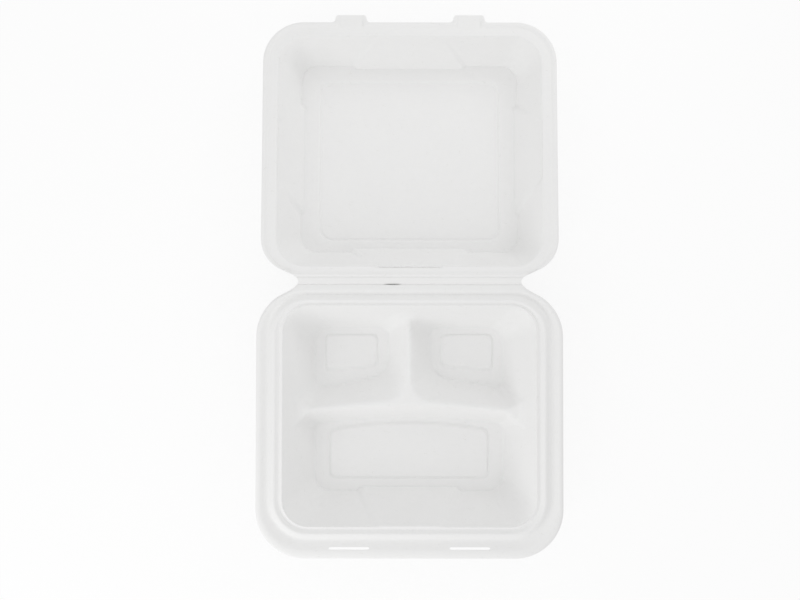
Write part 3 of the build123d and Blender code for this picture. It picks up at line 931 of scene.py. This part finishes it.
def fibre_material(p):
    """Loose surface fibres: the pulp's own colour, a little deeper and unevenly so."""
    material, nodes = new_material("pulp_fibre")
    place = nodes.add("ShaderNodeTexCoord").outputs["Object"]
    noise = nodes.add("ShaderNodeTexNoise", Vector=place, Scale=420.0, Detail=1.0)
    part = Value(nodes, noise.outputs[0]) * 2.4 - 0.7
    colour = two_colours(nodes, part, p.colour_light, p.colour_fibre)
    shader = nodes.add("ShaderNodeBsdfPrincipled", Base_Color=colour, Roughness=0.8)
    nodes.add("ShaderNodeOutputMaterial", Surface=shader.outputs[0])
    return material


# Fibres

FIBRE_INPUTS = (
    ("Geometry", "NodeSocketGeometry"),
    ("Density", "NodeSocketFloat"),
    ("Length", "NodeSocketFloat"),
    ("Thickness", "NodeSocketFloat"),
    ("Seed", "NodeSocketInt"),
    ("Material", "NodeSocketMaterial"),
)


# In metres: how far inside the CAD's box the fibres begin at its sides and top, and stay everywhere
SIDE_MARGIN = 0.003
RIM_MARGIN = 0.0006
BOX_MARGIN = 0.0001

FOOD_SIDE_LEAST = 0.99
FIBRE_SIZES = (0.45, 1.3)
FULL_TURN = 6.283


def open_food_side(nodes):
    """1 on the food side away from the outermost edges, otherwise 0."""
    mark = nodes.add("GeometryNodeInputNamedAttribute", {"data_type": "FLOAT"}, Name="food_side")
    where = nodes.add("ShaderNodeSeparateXYZ", Vector=nodes.add("GeometryNodeInputPosition").outputs[0])
    across = Value(nodes, where.outputs[0]).absolute()
    height = Value(nodes, where.outputs[2])
    off_edge = across.below(CAD_BOX[1][0] - SIDE_MARGIN) * height.below(CAD_BOX[1][2] - RIM_MARGIN)
    return off_edge * (1 - Value(nodes, mark.outputs[0]).below(FOOD_SIDE_LEAST))


def one_fibre(nodes, given):
    """A short bowed line with a square section."""
    half = Value(nodes, given["Length"]) * 0.5
    start = nodes.add("ShaderNodeCombineXYZ", X=half * -1.0)
    bow = nodes.add("ShaderNodeCombineXYZ", Y=half * 0.5)
    end = nodes.add("ShaderNodeCombineXYZ", X=half)
    line = nodes.add(
        "GeometryNodeCurveQuadraticBezier",
        Resolution=5,
        Start=start.outputs[0],
        Middle=bow.outputs[0],
        End=end.outputs[0],
    )
    radius = Value(nodes, given["Thickness"]) * 0.5
    profile = nodes.add("GeometryNodeCurvePrimitiveCircle", Resolution=4, Radius=radius)
    fibre = nodes.add("GeometryNodeCurveToMesh", Curve=line.outputs[0], Profile_Curve=profile.outputs[0])
    return fibre.outputs[0]


def random_number(nodes, low, high, seed):
    """A number between low and high, another one for each fibre."""
    number = nodes.add("FunctionNodeRandomValue", {"data_type": "FLOAT"}, _2=low, _3=high, _8=seed)
    return number.outputs[1]


def fibre_tree():
    """Short bowed fibres scattered over the food side of a skin, each lying half in it."""
    tree = bpy.data.node_groups.new("pulp_fibres", "GeometryNodeTree")
    tree.interface.new_socket(name="Geometry", in_out="OUTPUT", socket_type="NodeSocketGeometry")
    for name, kind in FIBRE_INPUTS:
        tree.interface.new_socket(name=name, in_out="INPUT", socket_type=kind)
    nodes = Nodes(tree)
    given = nodes.add("NodeGroupInput").outputs
    spread = nodes.add(
        "GeometryNodeDistributePointsOnFaces",
        {"distribute_method": "RANDOM"},
        Mesh=given["Geometry"],
        Selection=open_food_side(nodes),
        Density=given["Density"],
        Seed=given["Seed"],
    )
    turn = random_number(nodes, 0.0, FULL_TURN, given["Seed"])
    spin = nodes.add("FunctionNodeAxisAngleToRotation", Axis=(0, 0, 1), Angle=turn)
    lie = nodes.add(
        "FunctionNodeRotateRotation",
        {"rotation_space": "LOCAL"},
        Rotation=spread.outputs["Rotation"],
        Rotate_By=spin.outputs[0],
    )
    laid = nodes.add(
        "GeometryNodeInstanceOnPoints",
        Points=spread.outputs["Points"],
        Instance=one_fibre(nodes, given),
        Rotation=lie.outputs[0],
        Scale=random_number(nodes, *FIBRE_SIZES, given["Seed"]),
    )
    real = nodes.add("GeometryNodeRealizeInstances", Geometry=laid.outputs[0])
    low, high = (tuple(c + hand * BOX_MARGIN for c in corner) for corner, hand in zip(CAD_BOX, (1, -1)))
    spot = nodes.add("GeometryNodeInputPosition").outputs[0]
    above = nodes.add("ShaderNodeVectorMath", {"operation": "MAXIMUM"}, _0=spot, _1=low)
    held = nodes.add("ShaderNodeVectorMath", {"operation": "MINIMUM"}, _0=above.outputs[0], _1=high)
    kept = nodes.add("GeometryNodeSetPosition", Geometry=real.outputs[0], Position=held.outputs[0])
    painted = nodes.add("GeometryNodeSetMaterial", Geometry=kept.outputs[0], Material=given["Material"])
    nodes.add("NodeGroupOutput", Geometry=painted.outputs[0])
    return tree


def scatter_fibres(name, skin, tree, f, material, seed):
    """The fibres of one skin as a plain mesh object."""
    values = {
        "Density": f.density,
        "Length": f.length / 1000,
        "Thickness": f.thickness / 1000,
        "Seed": seed,
        "Material": material,
    }
    holder = add_object("fibre_holder", skin.data)
    scatter = holder.modifiers.new("fibres", "NODES")
    scatter.node_group = tree
    for item in tree.interface.items_tree:
        if item.in_out == "INPUT" and item.name in values:
            scatter[item.identifier] = values[item.name]
    mesh = evaluated_mesh(holder)
    bpy.data.objects.remove(holder)
    mesh.name = name
    mesh.polygons.foreach_set("use_smooth", [True] * len(mesh.polygons))
    return add_object(name, mesh)


# Properties


def number(title, about, value, kind="NONE"):
    """A number that a user may change."""
    return bpy.props.FloatProperty(name=title, description=about, default=value, subtype=kind)


def triple(title, about, value, kind):
    """A colour or a place that a user may change."""
    return bpy.props.FloatVectorProperty(name=title, description=about, default=value, subtype=kind)


class ShellSettings(bpy.types.PropertyGroup):
    """Sizes of the moulded sheet, in millimetres, and the look of the pulp."""

    sheet: number("Sheet", "Thickness of the moulded sheet, mm", 0.8)
    width: number("Width", "Width of the tray, mm", 230.0)
    length: number("Length", "Length of the tray from the fold, mm", 207.0)
    depth: number("Depth", "Depth of the tray, mm", 42.0)
    tray_corner: number("Tray corner", "Radius of the tray's front corners, mm", 36.5)
    tray_shoulder: number("Tray shoulder", "Length of the tray's shoulders, mm", 42.0)
    neck: number("Neck", "Half width of the hinge, mm", 83.4)
    edge_drop: number("Edge drop", "Drop of the tray's turned edge, mm", 3.3)
    channel_depth: number("Channel", "Depth of the channel round the rim, mm", 2.6)
    bead_height: number("Bead", "Height of the bead round the mouth, mm", 1.0)
    groove_depth: number("Groove", "Depth of the groove inside the bead, mm", 0.95)
    rib_drop: number("Rib drop", "How far the ribs stay under the rim, mm", 18.0)
    plateau_rise: number("Raised floor", "Height of the raised floors, mm", 1.2)
    plateau_groove: number("Raised floor groove", "Depth of the fine groove round the raised floors, mm", 0.4)
    side_lap: number("Side lap", "How much narrower the lid is on each side, mm", 3.25)
    front_lap: number("Front lap", "How much shorter the lid is, mm", 8.7)
    lid_corner: number("Lid corner", "Radius of the lid's front corners, mm", 31.0)
    lid_shoulder: number("Lid shoulder", "Length of the lid's shoulders, mm", 32.0)
    lid_depth: number("Lid depth", "Depth of the lid, mm", 34.5)
    lip_height: number("Lip", "Height of the lid's lip, mm", 0.4)
    flange_drop: number("Flange", "Depth of the lid's flange under the strip, mm", 1.0)
    panel_drop: number("Panel", "Depth of the recessed panel, mm", 1.2)
    facet_depth: number("Facet", "How far the facets stand out at the foot, mm", 3.5)
    facet_step: number("Facet step", "Steep stretch above the facets, mm", 4.0)
    notch_depth: number("Notch", "How far the front wall's flat middle stands in at its foot, mm", 3.6)
    rib_flare: number("Rib flare", "How far the cross rib widens where it meets the walls, mm", 7.0)
    rib_fillet: number("Rib fillet", "Height of the fillet where the ribs meet, mm", 26.0)
    panel_groove: number("Panel groove", "Depth of the pressed line round the panel at the hinge, mm", 0.95)
    foot_groove: number("Foot groove", "Depth of the pressed line at the foot of a wall, mm", 1.15)
    step_line: number("Step line", "Depth of the line over the facet at the hinge, mm", 0.95)
    tab_spacing: number("Tab spacing", "Distance between the tabs, mm", 90.0)
    tab_length: number("Tab length", "Length of the tabs, mm", 5.79)
    tab_level: number("Tab level", "Depth of the press behind the tabs, mm", 0.9)
    tray_crease: number("Tray crease", "Place of the tray's crease from the fold, mm", 2.4)
    lid_crease: number("Lid crease", "Place of the lid's crease from the fold, mm", 3.1)
    crease_depth: number("Crease depth", "Depth of the tray's crease, mm", 2.0)
    tear_place: number("Tear place", "Middle of the torn stretch of the tray's crease, mm", -13.0)
    tear_length: number("Tear length", "Length of the torn stretch, mm", 11.6)
    tear_depth: number("Tear depth", "Depth of the gap, mm", 2.6)
    tear_lip: number("Tear lip", "Lift of its lid side, mm", 0.35)
    strip_drop: number("Strip drop", "How far the strip between the creases lies under the rim, mm", 0.5)
    slot_length: number("Slot length", "Length of the tab slots, mm", 30.0)
    slot_width: number("Slot width", "Width of the tab slots, mm", 1.9)
    slot_inset: number("Slot inset", "Distance of the slots from the front edge, mm", 8.0)
    tooth: number("Tooth", "Strength of the fine relief of the pulp", 0.35, "FACTOR")
    colour_light: triple("Light pulp", "Lighter colour of the pulp", (0.935, 0.934, 0.930), "COLOR")
    colour_dark: triple("Dark pulp", "Darker colour of the pulp", (0.895, 0.894, 0.889), "COLOR")
    colour_fibre: triple("Fibre", "Colour of the darkest fibres", (0.70, 0.69, 0.66), "COLOR")


class FibreSettings(bpy.types.PropertyGroup):
    """Short fibres that lie loose on the pulp."""

    density: number("Density", "Fibres on a square metre", 14000.0)
    length: number("Length", "Usual length of a fibre, mm", 2.2)
    thickness: number("Thickness", "Thickness of a fibre, mm", 0.09)
    seed: bpy.props.IntProperty(name="Seed", description="Where the fibres happen to fall", default=7)


class StageSettings(bpy.types.PropertyGroup):
    """Camera and light."""

    camera_place: triple("Camera", "Place of the camera", (-0.00725, -0.02408, 0.642), "XYZ")
    camera_pitch: number("Pitch", "Lean of the camera from straight down", math.radians(1.095), "ANGLE")
    camera_roll: number("Roll", "Turn of the camera", math.radians(0.09), "ANGLE")
    lens: number("Lens", "Focal length, mm", 36.17)
    key_power: number("Key light", "Low light at the front left, W", 0.68)
    high_power: number("High light", "Higher light at the front left, W", 0.68)
    back_power: number("Back light", "Light on the lid from its far right, W", 0.068)
    sky: number("Sky", "Even light from all round", 0.771)


# Operators

# Levels between which a slot's cutter stands
CUT_TOP = 4
CUT_BOTTOM = -8


def slot_prism(length, width, centre):
    """A slim upright prism with round ends, to cut a slot with."""
    turn = np.linspace(-math.pi / 2, math.pi / 2, 9)
    right = np.stack([length / 2 - width / 2 + width / 2 * np.cos(turn), width / 2 * np.sin(turn)], 1)
    loop = np.concatenate([right, -right]) + np.array(centre)
    count = len(loop)
    points = [(x, d, z) for z in (CUT_BOTTOM, CUT_TOP) for x, d in loop]
    faces = [list(range(count))[::-1], list(range(count, 2 * count))]
    faces += [[k, (k + 1) % count, count + (k + 1) % count, count + k] for k in range(count)]
    return np.array(points), faces


def cut_slots(tray, p):
    """Cuts the two slots for the tabs through the front rim."""
    for hand in (-1, 1):
        centre = (hand * p.tab_spacing / 2, p.length - p.slot_inset)
        points, faces = slot_prism(p.slot_length, p.slot_width, centre)
        mesh = bpy.data.meshes.new("slot_cutter")
        mesh.from_pydata(tray_place(points).tolist(), [], [f[::-1] for f in faces])
        cutter = add_object("slot_cutter", mesh)
        cut = tray.modifiers.new("slot", "BOOLEAN")
        cut.operation = "DIFFERENCE"
        cut.solver = "EXACT"
        cut.object = cutter
        result = evaluated_mesh(tray)
        tray.modifiers.clear()
        tray.data = result
        bpy.data.objects.remove(cutter)
    tray.data.set_sharp_from_angle(angle=SHARP_ANGLE)


class PULP_OT_tray(bpy.types.Operator):
    """Moulds the tray with its three compartments, rim and slots"""

    bl_idname = "pulp.tray"
    bl_label = "Tray"

    def execute(self, context):
        p = context.scene.pulp_shell
        points, faces, inner = closed_shell(tray_half(p), p.sheet, -p.depth)
        tray = make_piece("tray_shell", tray_place(points), faces, inner, pulp(p), True)
        cut_slots(tray, p)
        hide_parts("tray")
        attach(tray, "tray")
        return {"FINISHED"}


class PULP_OT_lid(bpy.types.Operator):
    """Moulds the lid with its facets, recessed panel and tabs"""

    bl_idname = "pulp.lid"
    bl_label = "Lid"

    def execute(self, context):
        p = context.scene.pulp_shell
        points, faces, inner = closed_shell(lid_half(p), p.sheet, -p.lid_depth)
        lid = make_piece("lid_shell", lid_place(points), faces, inner, pulp(p), False)
        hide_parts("lid")
        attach(lid, "lid")
        return {"FINISHED"}


# Rows of points along the strip, from the tray's crease to the lid's, close together at both
STRIP_ROWS = (
    *(-2.4, -2.3, -2.15, -2.0, -1.85, -1.7, -1.5, -1.35, -1.2, -1.0, -0.7, -0.35, 0.0),
    *(0.35, 0.7, 1.0, 1.3, 1.6, 1.9, 2.1, 2.3, 2.5, 2.7, 2.85, 3.0, 3.1),
)


# Half the stretch over which the strip passes from the tray's plane to the lid's
STRIP_BEND = 1


def strip_surface(p):
    """Places and levels of the strip between the creases, row by row."""
    rows = np.array(STRIP_ROWS)
    rows[0], rows[-1] = -p.tray_crease, p.lid_crease
    tray_curve = shoulder_curve(p.neck, p.width / 2, p.tray_shoulder)
    lid_curve = shoulder_curve(p.neck, lid_size(p)[0], p.lid_shoulder)
    tray_side = np.interp(-rows, tray_curve[:, 1], tray_curve[:, 0])
    lid_side = np.interp(rows, lid_curve[:, 1], lid_curve[:, 0])
    reach = np.where(rows < 0, tray_side, lid_side)
    x = np.linspace(-1, 1, 2 * STRAIGHT + 1)[None, :] * reach[:, None]
    d = np.repeat(rows[:, None], x.shape[1], 1)
    level = crease(-d, p.tray_crease, p.crease_depth - p.strip_drop, STRIP_CREASE_HALF) - p.strip_drop
    level = level + crease(d, p.lid_crease, LID_CREASE * p.crease_depth - p.strip_drop, STRIP_CREASE_HALF)
    level = level + tear(x, d + p.tray_crease, p)
    return np.stack([x, d, level], 2)


def strip_faces(rows, count):
    """Faces of a sheet of rows of points over its twin: both skins and the rim round them."""
    grid = np.arange(rows * count).reshape(rows, count)
    corners = (grid[:-1, :-1], grid[:-1, 1:], grid[1:, 1:], grid[1:, :-1])
    top = np.stack([corner.ravel() for corner in corners], 1)
    under = top[:, ::-1] + grid.size
    border = np.concatenate([grid[0], grid[1:, -1], grid[-1, -2::-1], grid[-2:0:-1, 0]])
    ahead = np.roll(border, -1)
    rim = np.stack([border, border + grid.size, ahead + grid.size, ahead], 1)
    return np.concatenate([top, under, rim]).tolist()


class PULP_OT_hinge(bpy.types.Operator):
    """Presses the strip of the living hinge between the two creases"""

    bl_idname = "pulp.hinge"
    bl_label = "Living hinge"

    def execute(self, context):
        p = context.scene.pulp_shell
        surface = strip_surface(p)
        flat = surface.reshape(-1, 3)
        part = ramp(flat[:, 1], -STRIP_BEND, STRIP_BEND)[:, None]
        skins = []
        for drop in (0.0, p.sheet):
            local = flat - np.array([0, 0, drop])
            on_tray = tray_place(local * np.array([1, -1, 1]))
            skins.append(on_tray * (1 - part) + lid_place(local) * part)
        inner = np.repeat([1.0, 0.0], len(flat))
        faces = strip_faces(*surface.shape[:2])
        hinge = make_piece("hinge_strip", np.concatenate(skins), faces, inner, pulp(p), False)
        z = (AXIS_Z - FOLD_GAP / 2) / 1000
        (FOLD_Y - 1.2) / 1000
        (FOLD_Y + 1.2) / 1000
        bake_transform(hinge)
        return {"FINISHED"}


class PULP_OT_fibres(bpy.types.Operator):
    """Scatters short fibres over the food side of tray and lid"""

    bl_idname = "pulp.fibres"
    bl_label = "Fibres"

    def execute(self, context):
        f = context.scene.pulp_fibres
        tree = fibre_tree()
        material = fibre_material(context.scene.pulp_shell)
        for place, half in enumerate(("tray", "lid")):
            skin = bpy.data.objects[half + "_shell"]
            fibres = scatter_fibres(half + "_fibres", skin, tree, f, material, f.seed + place)
            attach(fibres, half)
        return {"FINISHED"}


# The floor in metres, how grey it is and how much of its look to the camera is plain white
FLOOR_REACH = 6.0
FLOOR_LEVEL = -0.0003
FLOOR_GREY = 0.96
FLOOR_GLOW = 0.86
WHITE = (1, 1, 1, 1)


def white_floor():
    """A wide matt floor that the camera sees as nearly white, with the object's shadow."""
    material, nodes = new_material("white_floor")
    seen = Value(nodes, nodes.add("ShaderNodeLightPath").outputs["Is Camera Ray"])
    matt = nodes.add("ShaderNodeBsdfDiffuse", Color=(FLOOR_GREY, FLOOR_GREY, FLOOR_GREY, 1))
    glow = nodes.add("ShaderNodeEmission", Color=WHITE, Strength=1.0)
    both = nodes.add("ShaderNodeMixShader", _0=seen * FLOOR_GLOW, _1=matt.outputs[0], _2=glow.outputs[0])
    nodes.add("ShaderNodeOutputMaterial", Surface=both.outputs[0])
    mesh = bpy.data.meshes.new("floor")
    far, z = FLOOR_REACH, FLOOR_LEVEL
    mesh.from_pydata([(-far, -far, z), (far, -far, z), (far, far, z), (-far, far, z)], [], [(0, 1, 2, 3)])
    mesh.materials.append(material)
    return add_object("floor", mesh)


def area_light(name, place, aim, size, power):
    """A square soft light."""
    data = bpy.data.lights.new(name, "AREA")
    data.shape = "SQUARE"
    data.size = size
    data.energy = power
    light = add_object(name, data)
    light.location = place
    light.rotation_euler = (Vector(aim) - Vector(place)).to_track_quat("-Z", "Y").to_euler()
    return light


def studio_world(sky):
    """Even light from all round, which the camera sees as white."""
    world = bpy.data.worlds.new("studio")
    world.use_nodes = True
    nodes = Nodes(world.node_tree)
    seen = nodes.add("ShaderNodeLightPath").outputs["Is Camera Ray"]
    tent = nodes.add("ShaderNodeBackground", Color=WHITE, Strength=sky)
    white = nodes.add("ShaderNodeBackground", Color=WHITE, Strength=1.0)
    both = nodes.add("ShaderNodeMixShader", _0=seen, _1=tent.outputs[0], _2=white.outputs[0])
    nodes.add("ShaderNodeOutputWorld", Surface=both.outputs[0])
    return world


def photo_camera(s):
    """The camera that was fitted to the photograph, over the box and looking nearly straight down."""
    data = bpy.data.cameras.new("photo_camera")
    data.sensor_width = 36.0
    data.lens = s.lens
    camera = add_object("photo_camera", data)
    camera.location = s.camera_place
    camera.rotation_euler = (s.camera_pitch, 0, s.camera_roll)
    return camera


class PULP_OT_stage(bpy.types.Operator):
    """Sets up the pale floor, the soft light and the camera"""

    bl_idname = "pulp.stage"
    bl_label = "Stage"

    def execute(self, context):
        scene = context.scene
        s = scene.pulp_stage
        floor = white_floor()
        front = (0.0, -0.08, 0.02)
        key = area_light("key_light", (-0.42, -0.62, 0.34), front, 0.35, s.key_power)
        high = area_light("high_light", (-0.50, -0.60, 0.75), front, 0.30, s.high_power)
        back = area_light("back_light", (0.32, 0.46, 0.34), (-0.06, 0.10, 0.0), 0.25, s.back_power)
        back.data.spread = math.radians(70)
        scene.world = studio_world(s.sky)
        scene.camera = photo_camera(s)
        scene.view_settings.view_transform = "Standard"
        return {"FINISHED"}


class PULP_PT_panel(bpy.types.Panel):
    """Lists the steps and the sizes"""

    bl_label = "Lunch box"
    bl_idname = "PULP_PT_panel"
    bl_space_type = "VIEW_3D"
    bl_region_type = "UI"
    bl_category = "Lunch box"

    def draw(self, context):
        for operator in (PULP_OT_tray, PULP_OT_lid, PULP_OT_hinge, PULP_OT_fibres, PULP_OT_stage):
            self.layout.operator(operator.bl_idname)
        for group in (context.scene.pulp_shell, context.scene.pulp_fibres, context.scene.pulp_stage):
            for name in group.__annotations__:
                self.layout.prop(group, name)


CLASSES = (
    ShellSettings,
    FibreSettings,
    StageSettings,
    PULP_OT_tray,
    PULP_OT_lid,
    PULP_OT_hinge,
    PULP_OT_fibres,
    PULP_OT_stage,
    PULP_PT_panel,
)


def register():
    for item in CLASSES:
        bpy.utils.register_class(item)
    bpy.types.Scene.pulp_shell = bpy.props.PointerProperty(type=ShellSettings)
    bpy.types.Scene.pulp_fibres = bpy.props.PointerProperty(type=FibreSettings)
    bpy.types.Scene.pulp_stage = bpy.props.PointerProperty(type=StageSettings)


def unregister():
    del bpy.types.Scene.pulp_stage
    del bpy.types.Scene.pulp_fibres
    del bpy.types.Scene.pulp_shell
    for item in reversed(CLASSES):
        bpy.utils.unregister_class(item)


def main():
    register()
    bpy.ops.pulp.tray()
    bpy.ops.pulp.lid()
    bpy.ops.pulp.hinge()
    bpy.ops.pulp.fibres()
    bpy.ops.pulp.stage()


if __name__ == "__main__":
    main()
